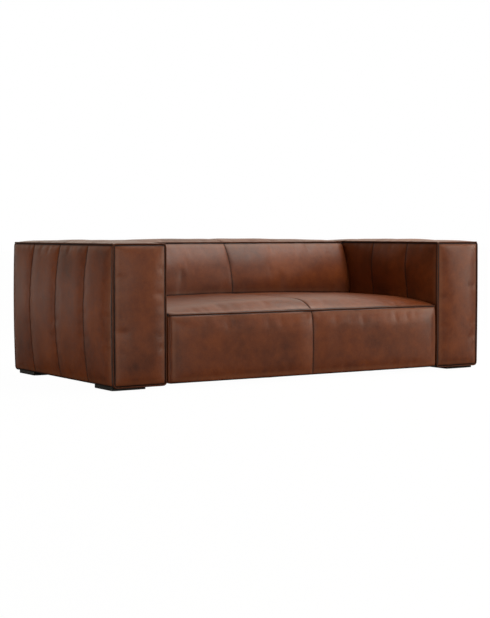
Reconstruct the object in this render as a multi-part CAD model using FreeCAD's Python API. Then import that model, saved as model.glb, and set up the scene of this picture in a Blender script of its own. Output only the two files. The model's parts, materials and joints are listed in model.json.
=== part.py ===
"""Two-seat leather sofa on block feet, with thick arms and back of one height.

Millimetres, +Z up, front towards -Y. The origin is on the floor, under the middle of the sofa's box.
Each piece is written to parts/NAME.step.
"""

import FreeCAD
import Part
import math
import os

Vector = FreeCAD.Vector

# Overall shape: the edges where the leather panels are sewn together
hull_width = 2063.0        # across the arms' outer edges
hull_depth = 1027.0        # from the arms' front edges to the rear edges
hull_top = 636.0           # floor to the top edges
hull_bottom = 20.0         # floor to the underside of arms and back
arm_width = 255.0
side_bulge = 36.0          # how far a padded face stands out past its edges
upright_bulge = 5.0        # the same, for the arm's two outer upright edges
front_bulge = 16.0
rear_bulge = 24.0
top_crown = 24.0
seat_proud = 38.0          # the seat's front stands this far past the arms' front edges

# Seat shape
seat_bottom = 24.0
seat_edge_height = 323.0   # floor to the piped front edge
seat_edge_back = 27.5      # from the seat's foremost point back to its piped edge
seat_foot_back = 7.0       # from the seat's foremost point back to its lower edge
seat_crown = 386.0         # floor to the top of the seat
seat_roll = 127.0          # length of the rounded front of the seat's top
seat_roll_drop = 11.0      # the crown is this much higher than the end of the roll
seat_flat_start = 327.0    # from the piped edge back to where the seat is flat
seat_roll_bend = (0.35, 0.56)      # a point of the roll, as shares of its length and its rise
seat_shoulder_rise = 0.75  # the share of seat_roll_drop gained halfway from the roll to the flat

# Back shape
back_thickness = 261.5     # top of the back, front edge to rear edge
back_lower_thickness = 249.5
bolster_overhang = 87.0    # the padded front comes this far forward of the back's top edge
bolster_bend = (0.18, 0.45)        # a point of the padded front, as shares of its overhang and rise
bolster_gap = 2.0          # between the seat and the back's padded front
unit_gap = 2.0             # between two upholstered units

# Materials
leather = 1.6
cover_gap = 0.4            # between the leather and what it covers
wrap_under = 40.0          # how far the leather is turned under the frame
board = 18.0
panel = 12.0
post = 25.0
rail = 25.0
hardboard = 5.0
pad_outer = 30.0
pad_inner = 24.0
pad_top = 36.0
pad_front = 30.0
pad_rear = 24.0
pad_side = 10.0            # at the ends of the seat and the back
pad_batten = 4.0
cut_margin = 5.0           # blocks that only cut a shape run this far past it

# Seat suspension
seat_rail_top = 210.0
rail_set_back = 8.0        # front rail behind the piped edge
centre_rail_drop = 36.0    # the centre rail stays this far under the springs' rails
corner_block_leg = 90.0
seat_dowel_heights = (40.0, 110.0)     # above the rails' lower edge
spring_count = 8
spring_wire = 3.8
spring_width = 54.0
spring_pitch = 36.0
spring_end_margin = 90.0
clip_thick = 1.5
clip_width = 24.0
clip_length = 12.0
clip_slack = 0.05
insulator = 4.0
core_top = 330.0
core_margin = 30.0

# Back suspension
strap_count = 8
strap_width = 60.0
strap_thick = 2.0
strap_margin = 110.0
strap_overlap = 40.0
front_rail_height = 90.0
lower_rail_drop = 60.0     # top of the lower strap rail, below the seat's crown

# Feet
foot_size = 166.0
foot_side_inset = 4.0      # from the arm's side edge
foot_front_inset = 26.0    # from the arm's front or rear edge
foot_chamfer = 1.5
glide_size = 138.0
glide_corner = 12.0
glide_thick = 2.0
foot_screw_sink = 1.0      # the screw heads lie this far up in the foot

# Fasteners
foot_screw_radius = 2.75
foot_screw_length = 36.0
foot_screw_head = 5.5
foot_screw_inset = 48.0
frame_screw_radius = 2.0
frame_screw_length = 40.0
frame_screw_head = 4.0
frame_screw_end = 70.0     # first screw from a board's end, lengthwise
frame_screw_rise = 90.0    # and upright
dowel_radius = 5.0
dowel_length = 50.0
back_dowel_radius = 4.0
bolt_radius = 4.0
bolt_head_radius = 8.5
bolt_head_height = 5.0
washer_radius = 12.0
washer_thick = 1.6
nut_flange_radius = 10.0
nut_barrel_radius = 5.5
nut_flange_thick = 1.5
bolt_clearance = 0.5
bolt_tip = 12.0            # how far a bolt runs past the board that its nut is in
panel_nut_floor = 2.0      # wood left between a tee nut's barrel and the panel's near face
rail_nut_floor = 8.0       # the same, in a rail
batten_height = 90.0
batten_end = 20.0          # from a batten's end to the frame's or the unit's end
back_batten_rise = 30.0    # foot of the upright batten above the seat rails
seat_joint_front = 120.0   # first and last bolt between arm and seat, from the unit's ends
seat_joint_rear = 90.0
back_joint_rise = 80.0     # lower bolt between arm and back, above the seat rails
back_joint_drop = 70.0     # upper bolt, below the arm frame's top
rear_joint_places = (-500.0, -180.0, 180.0, 500.0)     # bolts between seat and back, across the sofa

piping_radius = 3.5
piping_clearance = 0.2     # between an arm's inner welts and the seat or the back
piping_rise = 1.2          # lifts the set-in welts clear of the bowed leather
dust_cover_thick = 0.8
dust_cover_hem = 12.0

# Places worked out from the sizes above
overall_depth = hull_depth + seat_proud + rear_bulge
front_y = seat_proud - overall_depth / 2
rear_y = front_y + hull_depth
outer_x = hull_width / 2
inner_x = outer_x - arm_width
unit_x = inner_x - unit_gap
skin = leather + cover_gap
frame_x = unit_x - skin - pad_side
back_lower_y = rear_y - back_lower_thickness
seat_rear_y = back_lower_y - unit_gap
seat_joint_height = (seat_bottom + seat_rail_top) / 2
parts = {}


def box(low, high):
    size = [h - l for l, h in zip(low, high)]
    return Part.makeBox(size[0], size[1], size[2], Vector(*low))


def cylinder(start, direction, radius, length):
    return Part.makeCylinder(radius, length, Vector(*start), Vector(*direction))


def mirrored(shape):
    return shape.mirror(Vector(0, 0, 0), Vector(1, 0, 0))


def add(name, shape):
    """Keeps one piece, or a group of separate solids, under its name."""
    parts[name] = shape


def group(solids):
    return Part.makeCompound(list(solids))


def spread(count, low, high):
    step = (high - low) / (count - 1)
    return [low + i * step for i in range(count)]


def hull_corner(low, high, i, j, k):
    return Vector((low[0], high[0])[i], (low[1], high[1])[j], (low[2], high[2])[k])


def padded_box(low, high, bulges, upright):
    """A closed box with bowed faces, each one smooth patch.

    bulges gives how far -X, +X, -Y, +Y, -Z and +Z stand out, and upright how far the two upright
    edges on the +X side bow out.
    """
    def edge_middle(a, b):
        middle = (hull_corner(low, high, *a) + hull_corner(low, high, *b)) * 0.5
        if a[0] == b[0] == 1 and a[1] == b[1]:
            middle.x += 2 * upright
        return middle

    faces = []
    for axis in range(3):
        others = [n for n in range(3) if n != axis]
        for side in (0, 1):
            def key(u, v):
                place = [0, 0, 0]
                place[axis] = side
                place[others[0]] = u
                place[others[1]] = v
                return tuple(place)

            c = [[key(u, v) for v in (0, 1)] for u in (0, 1)]
            corner = [[hull_corner(low, high, *c[u][v]) for v in (0, 1)] for u in (0, 1)]
            middles = [
                edge_middle(c[0][0], c[0][1]),
                edge_middle(c[1][0], c[1][1]),
                edge_middle(c[0][0], c[1][0]),
                edge_middle(c[0][1], c[1][1]),
            ]
            centre = (corner[0][0] + corner[0][1] + corner[1][0] + corner[1][1]) * 0.25
            outward = Vector(*[(1 if side else -1) if n == axis else 0 for n in range(3)])
            bowed = sum((m - centre).dot(outward) for m in middles) / 2
            centre += outward * (4 * bulges[2 * axis + side] - bowed)
            patch = Part.BezierSurface()
            patch.increase(2, 2)
            poles = [
                [corner[0][0], middles[0], corner[0][1]],
                [middles[2], centre, middles[3]],
                [corner[1][0], middles[1], corner[1][1]],
            ]
            for u in range(3):
                for v in range(3):
                    patch.setPole(u + 1, v + 1, poles[u][v])
            faces.append(patch.toShape())
    shell = Part.Shell(faces)
    shell.sewShape()
    solid = Part.Solid(Part.Shell(shell.Faces))
    if solid.Volume < 0:
        solid.reverse()
    return solid


def arc(a, b, c):
    return Part.Arc(a, b, c).toShape()


def line(a, b):
    return Part.LineSegment(a, b).toShape()


def across(wire, half_width):
    """The solid that a section in the YZ plane sweeps from -half_width to +half_width."""
    face = Part.Face(wire)
    face.translate(Vector(-half_width, 0, 0))
    return face.extrude(Vector(2 * half_width, 0, 0))


def point(y, z):
    return Vector(0, y, z)


def inset_wire(wire, distance):
    return wire.makeOffset2D(-distance, 0, False, False, False)


def seat_section():
    """The seat's section: upright front, piped edge, rolled top, flat seat and upright rear."""
    foremost = front_y - seat_proud
    edge_y = foremost + seat_edge_back
    lower = point(foremost + seat_foot_back, seat_bottom)
    edge = point(edge_y, seat_edge_height)
    belly = point(foremost, (seat_bottom + seat_edge_height) / 2)
    roll_end = point(edge_y + seat_roll, seat_crown - seat_roll_drop)
    roll_rise = roll_end.z - edge.z
    roll_middle = point(edge_y + seat_roll_bend[0] * seat_roll, edge.z + seat_roll_bend[1] * roll_rise)
    flat = point(edge_y + seat_flat_start, seat_crown)
    shoulder = point(edge_y + (seat_roll + seat_flat_start) / 2,
                     seat_crown - (1 - seat_shoulder_rise) * seat_roll_drop)
    rear_top = point(seat_rear_y, seat_crown)
    rear_foot = point(seat_rear_y, seat_bottom)
    return Part.Wire([
        arc(lower, belly, edge),
        arc(edge, roll_middle, roll_end),
        arc(roll_end, shoulder, flat),
        line(flat, rear_top),
        line(rear_top, rear_foot),
        line(rear_foot, lower),
    ])


def back_section():
    """The back's section: bowed rear, crowned top, and a padded front that overhangs the seat."""
    top_front = point(rear_y - back_thickness, hull_top)
    nose = point(top_front.y - bolster_overhang, seat_crown + bolster_gap)
    rise = top_front.z - nose.z
    face_middle = point(nose.y + bolster_bend[0] * bolster_overhang, nose.z + bolster_bend[1] * rise)
    top_rear = point(rear_y, hull_top)
    rear_foot = point(rear_y, hull_bottom)
    front_foot = point(back_lower_y, hull_bottom)
    under = point(back_lower_y, nose.z)
    return Part.Wire([
        arc(nose, face_middle, top_front),
        arc(top_front, point((top_front.y + rear_y) / 2, hull_top + top_crown), top_rear),
        arc(top_rear, point(rear_y + rear_bulge, (hull_top + hull_bottom) / 2), rear_foot),
        line(rear_foot, front_foot),
        line(front_foot, under),
        line(under, nose),
    ])


def screw(start, direction, radius, length, head):
    """A countersunk screw: a cone for its head and a plain shank that ends in a point."""
    place = Vector(*start)
    way = Vector(*direction)
    cone = Part.makeCone(head, radius, head - radius, place, way)
    shank = Part.makeCylinder(radius, length - radius, place, way)
    tip = Part.makeCone(radius, 0, radius, place + way * (length - radius), way)
    return cone.fuse([shank, tip]).removeSplitter()


def drill(names, tools):
    """Cuts the tools from every named piece that they reach."""
    for name in names:
        touching = [t for t in tools if parts[name].BoundBox.intersect(t.BoundBox)]
        if touching:
            parts[name] = parts[name].cut(group(touching))


def feet():
    """Four square blocks, each on a felt glide and held by four countersunk screws."""
    glides = []
    screws = []
    for side, way_x in (("left", -1), ("right", 1)):
        for end, way_y in (("front", -1), ("rear", 1)):
            edge_y = front_y if end == "front" else rear_y
            x = way_x * (outer_x - foot_side_inset - foot_size / 2)
            y = edge_y - way_y * (foot_front_inset + foot_size / 2)
            half = foot_size / 2
            block = box((x - half, y - half, glide_thick), (x + half, y + half, hull_bottom))
            low_edges = [e for e in block.Edges if e.BoundBox.ZMax < hull_bottom - 1]
            uprights = [e for e in block.Edges if e.BoundBox.ZLength > 1]
            block = block.makeChamfer(foot_chamfer, low_edges + uprights)
            pad_half = glide_size / 2
            pad = box((x - pad_half, y - pad_half, 0), (x + pad_half, y + pad_half, glide_thick))
            pad = pad.makeFillet(glide_corner, [e for e in pad.Edges if e.BoundBox.ZLength > 1])
            glides.append(pad)
            reach = half - foot_screw_inset
            held = [
                screw((x + sx * reach, y + sy * reach, glide_thick + foot_screw_sink), (0, 0, 1),
                      foot_screw_radius, foot_screw_length, foot_screw_head)
                for sx in (-1, 1) for sy in (-1, 1)
            ]
            sinks = [
                cylinder((x + sx * reach, y + sy * reach, glide_thick), (0, 0, 1),
                         foot_screw_head, foot_screw_sink)
                for sx in (-1, 1) for sy in (-1, 1)
            ]
            screws += held
            add(f"foot_{end}_{side}", block.cut(group(held + sinks)))
    add("felt_glides", group(glides))
    add("foot_screws", group(screws))
    return screws


def arm_frame_box():
    low = (inner_x + skin + pad_inner, front_y + skin + pad_front, hull_bottom + leather)
    high = (outer_x - skin - pad_outer, rear_y - skin - pad_rear, hull_top - skin - pad_top)
    return low, high


def arm_boards():
    """The right arm's box frame: two panels with a base plate, top board, two posts and a rib between."""
    low, high = arm_frame_box()
    x0 = low[0] + panel
    x1 = high[0] - panel
    base_top = low[2] + board
    top_under = high[2] - board
    middle = (low[1] + high[1]) / 2
    return {
        "inner_panel": box(low, (x0, high[1], high[2])),
        "outer_panel": box((x1, low[1], low[2]), high),
        "base_plate": box((x0, low[1], low[2]), (x1, high[1], base_top)),
        "top_board": box((x0, low[1], top_under), (x1, high[1], high[2])),
        "posts": group([
            box((x0, low[1], base_top), (x1, low[1] + post, top_under)),
            box((x0, high[1] - post, base_top), (x1, high[1], top_under)),
        ]),
        "middle_rib": box((x0, middle - board / 2, base_top), (x1, middle + board / 2, top_under)),
    }


def arm_frame_screws():
    """Screws through both panels of the right arm into the boards between them."""
    low, high = arm_frame_box()
    made = []
    heights = spread(4, low[2] + frame_screw_rise, high[2] - frame_screw_rise)
    lengths = spread(5, low[1] + frame_screw_end, high[1] - frame_screw_end)
    middle = (low[1] + high[1]) / 2
    places = [(low[1] + post / 2, z) for z in heights]
    places += [(high[1] - post / 2, z) for z in heights]
    places += [(middle, z) for z in heights]
    for y in lengths[:2] + lengths[3:]:        # the middle one would meet the rib's screws
        places += [(y, low[2] + board / 2), (y, high[2] - board / 2)]
    for y, z in places:
        for x, way in ((low[0], 1), (high[0], -1)):
            made.append(screw((x, y, z), (way, 0, 0), frame_screw_radius,
                              frame_screw_length, frame_screw_head))
    return made


def batten_boxes():
    """Hardwood packing between the right arm's inner panel and its leather, where units are bolted."""
    low, high = arm_frame_box()
    x0 = inner_x + skin + pad_batten
    seat_low = (x0, low[1] + batten_end, seat_joint_height - batten_height / 2)
    seat_high = (low[0], seat_rear_y - batten_end, seat_joint_height + batten_height / 2)
    middle = (back_lower_y + rear_y) / 2
    back_low = (x0, middle - batten_height / 2, seat_rail_top + back_batten_rise)
    back_high = (low[0], middle + batten_height / 2, high[2] - batten_end)
    return [box(seat_low, seat_high), box(back_low, back_high)]


def joining_places():
    """(y, z) of the bolts that hold an arm to the seat and to the back."""
    seat_ys = spread(3, front_y + seat_joint_front, seat_rear_y - seat_joint_rear)
    back_y = (back_lower_y + rear_y) / 2
    back_zs = [seat_rail_top + back_joint_rise, arm_frame_box()[1][2] - back_joint_drop]
    return [(y, seat_joint_height) for y in seat_ys] + [(back_y, z) for z in back_zs]


def bolt(start, way, length):
    """A pan-head bolt with a washer under its head. start is the face that the washer bears on."""
    base = Vector(*start)
    out = Vector(*way)
    head = Part.makeCylinder(bolt_head_radius, bolt_head_height,
                             base - out * (washer_thick + bolt_head_height), out)
    shank = Part.makeCylinder(bolt_radius, length, base - out * washer_thick, out)
    return head.fuse(shank).removeSplitter()


def washer(start, way):
    base = Vector(*start)
    out = Vector(*way)
    ring = Part.makeCylinder(washer_radius, washer_thick, base - out * washer_thick, out)
    return ring.cut(Part.makeCylinder(bolt_radius, washer_thick, base - out * washer_thick, out))


def tee_nut(start, way, depth):
    """A flanged nut whose barrel is let into the board. start is the board's far face."""
    base = Vector(*start)
    out = Vector(*way)
    flange = Part.makeCylinder(nut_flange_radius, nut_flange_thick, base, out)
    barrel = Part.makeCylinder(nut_barrel_radius, depth, base - out * depth, out)
    hole = Part.makeCylinder(bolt_radius, depth + nut_flange_thick, base - out * depth, out)
    return flange.fuse(barrel).removeSplitter().cut(hole)


def arm_cover_and_foam():
    """The right arm's leather cover and the foam between it and the frame."""
    low = (inner_x, front_y, hull_bottom)
    high = (outer_x, rear_y, hull_top)
    bulges = [0, side_bulge, front_bulge, rear_bulge, 0, top_crown]

    def inset(distance):
        inner_low = tuple(v + distance for v in low)
        inner_high = tuple(v - distance for v in high)
        return padded_box(inner_low, inner_high, bulges, upright_bulge)

    opening = box((low[0] + wrap_under, low[1] + wrap_under, low[2] - cut_margin),
                  (high[0] - wrap_under, high[1] - wrap_under, low[2] + skin))
    cover = inset(0).cut(inset(leather)).cut(opening)
    frame_low, frame_high = arm_frame_box()
    hollow = box((frame_low[0], frame_low[1], low[2]), frame_high)
    foam = inset(skin).cut(group([hollow] + batten_boxes()))
    return cover, foam


def piping_run(points, offset):
    """A round welt along an edge. offset moves it off the leather so that the two only touch."""
    placed = [p + offset for p in points]
    if len(placed) == 2:
        path = line(*placed)
    else:
        curve = Part.BezierCurve()
        curve.setPoles(placed)
        path = curve.toShape()
    start = path.valueAt(path.FirstParameter)
    way = path.tangentAt(path.FirstParameter)
    ring = Part.Wire([Part.makeCircle(piping_radius, start, way)])
    return Part.Wire([path]).makePipeShell([ring], True, True)


def arm_piping():
    """Welts round the right arm's front and rear panels and along its top edges.

    Those on the inner edges are set in, clear of the seat and the back.
    """
    reach = piping_radius / math.sqrt(2)
    set_in = piping_radius - unit_gap + piping_clearance
    lift = piping_radius + piping_rise
    trim = 2 * piping_radius
    middle = (hull_top + hull_bottom) / 2
    runs = []
    for y, way in ((front_y, -1), (rear_y, 1)):
        outer = [
            Vector(outer_x, y, hull_bottom),
            Vector(outer_x + 2 * upright_bulge, y, middle),
            Vector(outer_x, y, hull_top),
        ]
        runs.append(piping_run(outer, Vector(reach, way * reach, 0)))
        inner = [Vector(inner_x, y, hull_bottom), Vector(inner_x, y, hull_top)]
        runs.append(piping_run(inner, Vector(set_in, way * lift, 0)))
        top = [Vector(inner_x + trim, y, hull_top), Vector(outer_x - trim, y, hull_top)]
        runs.append(piping_run(top, Vector(0, way * reach, reach)))
    for x, offset in ((outer_x, Vector(reach, 0, reach)), (inner_x, Vector(set_in, 0, lift))):
        along = [Vector(x, front_y + trim, hull_top), Vector(x, rear_y - trim, hull_top)]
        runs.append(piping_run(along, offset))
    return group(runs)


def arms():
    """Both arms: the right one is modelled, and the left one is its mirror image."""
    boards = arm_boards()
    screws = arm_frame_screws()
    cover, foam = arm_cover_and_foam()
    pieces = {f"arm_{name}": shape for name, shape in boards.items()}
    for name in boards:
        pieces[f"arm_{name}"] = pieces[f"arm_{name}"].cut(group(screws))
    pieces["arm_foam"] = foam
    pieces["arm_cover"] = cover
    pieces["arm_piping"] = arm_piping()
    for name, shape in pieces.items():
        add(f"right_{name}", shape)
        add(f"left_{name}", mirrored(shape))
    battens = batten_boxes()
    add("arm_frame_screws", group(screws + [mirrored(s) for s in screws]))
    add("arm_joining_battens", group(battens + [mirrored(b) for b in battens]))


def seat_frame():
    """Front and rear rails, two side rails and a centre rail, dowelled and braced at the corners."""
    x1 = frame_x
    y0 = front_y - seat_proud + seat_edge_back + skin + rail_set_back
    y1 = seat_rear_y - skin
    z0 = seat_bottom + leather
    z1 = seat_rail_top
    add("seat_front_rail", box((-x1, y0, z0), (x1, y0 + rail, z1)))
    add("seat_rear_rail", box((-x1, y1 - rail, z0), (x1, y1, z1)))
    add("seat_left_rail", box((-x1, y0 + rail, z0), (-x1 + post, y1 - rail, z1)))
    add("seat_right_rail", box((x1 - post, y0 + rail, z0), (x1, y1 - rail, z1)))
    add("seat_centre_rail", box((-post / 2, y0 + rail, z0),
                                (post / 2, y1 - rail, z1 - centre_rail_drop)))
    dowels = []
    for x in (-x1 + post / 2, 0, x1 - post / 2):
        for y in (y0 + rail, y1 - rail):
            for height in seat_dowel_heights:
                dowels.append(cylinder((x, y - dowel_length / 2, z0 + height), (0, 1, 0),
                                       dowel_radius, dowel_length))
    add("seat_frame_dowels", group(dowels))
    drill([n for n in parts if n.startswith("seat_") and n.endswith("_rail")], dowels)
    leg = corner_block_leg
    blocks = []
    for way_x in (-1, 1):
        for corner_y, way_y in ((y0 + rail, 1), (y1 - rail, -1)):
            x = way_x * (x1 - post)
            points = [
                Vector(x, corner_y, z0),
                Vector(x - way_x * leg, corner_y, z0),
                Vector(x, corner_y + way_y * leg, z0),
            ]
            face = Part.Face(Part.makePolygon(points + points[:1]))
            blocks.append(face.extrude(Vector(0, 0, post)))
    add("seat_corner_blocks", group(blocks))
    return y0, y1, z1


def zigzag_spring(x, y0, y1, z):
    """One flat sinuous spring, from a straight bar at the front to one at the rear."""
    bend = spring_pitch / 4
    half = spring_width / 2 - bend
    turns = int((y1 - y0) / (2 * bend))
    bend = (y1 - y0) / turns / 2
    edges = []
    side = 1
    y = y0
    for i in range(turns + 1):
        edges.append(line(Vector(x - side * half, y, z), Vector(x + side * half, y, z)))
        if i < turns:
            top = Vector(x + side * half, y, z)
            middle = Vector(x + side * (half + bend), y + bend, z)
            end = Vector(x + side * half, y + 2 * bend, z)
            edges.append(arc(top, middle, end))
        y += 2 * bend
        side = -side
    path = Part.Wire(edges)
    ring = Part.Wire([Part.makeCircle(spring_wire / 2, Vector(x - half, y0, z), Vector(1, 0, 0))])
    return path.makePipeShell([ring], True, False)


def spring_clip(x, y, z, way):
    """A folded steel clip that holds a spring's end bar on the rail. way points off the rail."""
    inside = spring_wire / 2 + clip_slack
    depth = inside + clip_thick
    low = box((x - clip_width / 2, min(y - way * clip_length, y + way * depth), z),
              (x + clip_width / 2, max(y - way * clip_length, y + way * depth), z + clip_thick))
    upper_z = z + clip_thick + 2 * inside
    high = box((x - clip_width / 2, min(y - way * clip_length / 2, y + way * depth), upper_z),
               (x + clip_width / 2, max(y - way * clip_length / 2, y + way * depth), upper_z + clip_thick))
    fold = box((x - clip_width / 2, min(y + way * inside, y + way * depth), z),
               (x + clip_width / 2, max(y + way * inside, y + way * depth), upper_z + clip_thick))
    return low.fuse([high, fold]).removeSplitter()


def seat_suspension(y0, y1, z1):
    bar_z = z1 + clip_thick + spring_wire / 2 + clip_slack
    first = y0 + rail / 2
    last = y1 - rail / 2
    xs = spread(spring_count, spring_end_margin - frame_x, frame_x - spring_end_margin)
    add("zigzag_springs", group([zigzag_spring(x, first, last, bar_z) for x in xs]))
    clips = []
    for x in xs:
        clips.append(spring_clip(x, first, z1, -1))
        clips.append(spring_clip(x, last, z1, 1))
    add("spring_clips", group(clips))
    return bar_z + spring_wire / 2 + clip_slack + clip_thick


def seat_upholstery(y0, y1, spring_top):
    """Felt, foam and the sewn leather cover of the seat."""
    outer = seat_section()
    inner = across(inset_wire(outer, leather), unit_x - leather)
    filled = across(inset_wire(outer, skin), unit_x - skin)
    width = unit_x - skin
    front_block = box((-unit_x, front_y - 2 * seat_proud, 0), (unit_x, y0, spring_top))
    frame_block = box((-frame_x, y0, 0), (frame_x, seat_rear_y, spring_top))
    felt = box((-frame_x, y0, spring_top), (frame_x, y1, spring_top + insulator))
    core = box((-width + core_margin, y0 + core_margin, spring_top + insulator),
               (width - core_margin, y1, core_top))
    add("spring_insulator_felt", felt)
    add("seat_core_foam", core)
    add("seat_front_foam", filled.common(front_block))
    add("seat_topper_foam", filled.cut(group([front_block, frame_block, felt, core])))
    opening = box((-unit_x + wrap_under, front_y - seat_proud + seat_foot_back + wrap_under, 0),
                  (unit_x - wrap_under, seat_rear_y - wrap_under, seat_bottom + skin))
    add("seat_cover", across(outer, unit_x).cut(inner).cut(opening))
    reach = piping_radius / math.sqrt(2)
    edge_y = front_y - seat_proud + seat_edge_back
    ends = [Vector(-unit_x, edge_y, seat_edge_height), Vector(unit_x, edge_y, seat_edge_height)]
    add("seat_piping", piping_run(ends, Vector(0, -reach, reach)))


def back_frame():
    """A shallow box frame: four outer boards, a centre rib, three front rails and a rear panel."""
    x1 = frame_x
    y0 = back_lower_y + skin + strap_thick
    y1 = rear_y - skin - pad_rear
    z0 = hull_bottom + leather
    z1 = hull_top - skin - pad_top
    inner_y = y0 + rail
    rear_inner = y1 - hardboard
    add("back_bottom_board", box((-x1, y0, z0), (x1, rear_inner, z0 + board)))
    add("back_top_board", box((-x1, y0, z1 - board), (x1, rear_inner, z1)))
    end_board = box((x1 - post, y0, z0 + board), (x1, rear_inner, z1 - board))
    add("back_end_boards", group([end_board, mirrored(end_board)]))
    add("back_centre_rib", box((-board / 2, inner_y, z0 + board), (board / 2, rear_inner, z1 - board)))
    span = x1 - post
    lower_z = seat_crown - lower_rail_drop
    add("back_lower_rail", box((-span, y0, lower_z - front_rail_height), (span, inner_y, lower_z)))
    upper_z = z1 - board
    add("back_upper_rail", box((-span, y0, upper_z - front_rail_height / 2), (span, inner_y, upper_z)))
    joint_z = seat_joint_height
    add("back_joining_rail", box((-span, y0, joint_z - front_rail_height / 2),
                                 (span, inner_y, joint_z + front_rail_height / 2)))
    add("back_rear_panel", box((-x1, rear_inner, z0), (x1, y1, z1)))
    dowels = []
    for x in (-x1 + post / 2, 0, x1 - post / 2):
        for y in (y0 + rail * 2, rear_inner - rail):
            for z in (z0 + board, z1 - board):
                dowels.append(cylinder((x, y, z - board / 2), (0, 0, 1), back_dowel_radius, board))
    add("back_frame_dowels", group(dowels))
    wooden = ["back_bottom_board", "back_top_board", "back_end_boards", "back_centre_rib"]
    drill(wooden, dowels)
    bottom = lower_z - strap_overlap
    top = upper_z - front_rail_height / 2 + strap_overlap
    xs = spread(strap_count, -span + strap_margin, span - strap_margin)
    straps = [box((x - strap_width / 2, y0 - strap_thick, bottom),
                  (x + strap_width / 2, y0, top)) for x in xs]
    add("back_webbing_straps", group(straps))
    return y0, y1, z1


def back_upholstery(y0, y1, z1):
    """Foam and the sewn leather cover of the back."""
    outer = back_section()
    inner = across(inset_wire(outer, leather), unit_x - leather)
    filled = across(inset_wire(outer, skin), unit_x - skin)
    past_x = unit_x + cut_margin
    past_y = rear_y + rear_bulge + cut_margin
    past_z = hull_top + top_crown + cut_margin
    front_block = box((-past_x, front_y, seat_crown), (past_x, y0 - strap_thick, past_z))
    top_block = box((-past_x, y0 - strap_thick, z1), (past_x, past_y, past_z))
    rear_block = box((-past_x, y1, 0), (past_x, past_y, z1))
    end_block = box((frame_x, y0 - strap_thick, 0), (past_x, y1, z1))
    wrap = rear_block.fuse([end_block, mirrored(end_block)])
    add("back_bolster_foam", filled.common(front_block))
    add("back_top_foam", filled.common(top_block))
    add("back_rear_foam", filled.common(wrap))
    opening = box((-unit_x + wrap_under, back_lower_y + wrap_under, 0),
                  (unit_x - wrap_under, rear_y - wrap_under, hull_bottom + skin))
    add("back_cover", across(outer, unit_x).cut(inner).cut(opening))
    reach = piping_radius / math.sqrt(2)
    runs = []
    for y, way in ((rear_y - back_thickness, -1), (rear_y, 1)):
        ends = [Vector(-unit_x, y, hull_top), Vector(unit_x, y, hull_top)]
        runs.append(piping_run(ends, Vector(0, way * reach, reach)))
    add("back_piping", group(runs))


def dust_covers():
    """Thin cloth sheets that close the undersides, stapled over the turned-under leather."""
    hem = dust_cover_hem
    seat_front = front_y - seat_proud + seat_foot_back
    between_feet = foot_front_inset + foot_size + hem
    arm = box((inner_x + hem, front_y + between_feet, hull_bottom - dust_cover_thick),
              (outer_x - hem, rear_y - between_feet, hull_bottom))
    add("dust_covers", group([
        box((-unit_x + hem, seat_front + hem, seat_bottom - dust_cover_thick),
            (unit_x - hem, seat_rear_y - hem, seat_bottom)),
        box((-unit_x + hem, back_lower_y + hem, hull_bottom - dust_cover_thick),
            (unit_x - hem, rear_y - hem, hull_bottom)),
        arm,
        mirrored(arm),
    ]))


def joining_bolts():
    """Bolts, washers and tee nuts that hold the four upholstered units together."""
    bolts = []
    washers = []
    nuts = []
    holes = []
    head_x = frame_x - post
    nut_x = arm_frame_box()[0][0] + panel
    length = nut_x - head_x + bolt_tip
    panel_barrel = panel - panel_nut_floor
    rail_barrel = rail - rail_nut_floor
    for way in (-1, 1):
        for y, z in joining_places():
            bolts.append(bolt((way * head_x, y, z), (way, 0, 0), length))
            washers.append(washer((way * head_x, y, z), (way, 0, 0)))
            nuts.append(tee_nut((way * nut_x, y, z), (way, 0, 0), panel_barrel))
            holes.append(cylinder((way * head_x, y, z), (way, 0, 0),
                                  bolt_radius + bolt_clearance, length))
            holes.append(cylinder((way * (nut_x - panel_barrel), y, z), (way, 0, 0),
                                  nut_barrel_radius, panel_barrel))
    seat_y = seat_rear_y - skin - rail
    rail_y = back_lower_y + skin + strap_thick + rail
    z = seat_joint_height
    reach = rail_y - seat_y + bolt_tip
    for x in rear_joint_places:
        bolts.append(bolt((x, seat_y, z), (0, 1, 0), reach))
        washers.append(washer((x, seat_y, z), (0, 1, 0)))
        nuts.append(tee_nut((x, rail_y, z), (0, 1, 0), rail_barrel))
        holes.append(cylinder((x, seat_y, z), (0, 1, 0), bolt_radius + bolt_clearance, reach))
        holes.append(cylinder((x, rail_y - rail_barrel, z), (0, 1, 0), nut_barrel_radius, rail_barrel))
    add("joining_bolts", group(bolts))
    add("joining_washers", group(washers))
    add("joining_tee_nuts", group(nuts))
    fasteners = ("joining_bolts", "joining_washers", "joining_tee_nuts")
    drill([n for n in parts if n not in fasteners], holes)


foot_screw_solids = feet()
arms()
frame_y0, frame_y1, frame_top = seat_frame()
spring_top = seat_suspension(frame_y0, frame_y1, frame_top)
seat_upholstery(frame_y0, frame_y1, spring_top)
back_y0, back_y1, back_z1 = back_frame()
back_upholstery(back_y0, back_y1, back_z1)
dust_covers()
plates = [f"{side}_arm_{name}" for side in ("left", "right") for name in ("base_plate", "cover")]
drill(plates, foot_screw_solids)
joining_bolts()

os.makedirs("parts", exist_ok=True)
for node, shape in parts.items():
    shape.exportStep(f"parts/{node}.step")
print(f"{len(parts)} nodes")
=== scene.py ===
import bpy
import json
import math
import numpy as np
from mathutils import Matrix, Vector, noise


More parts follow.
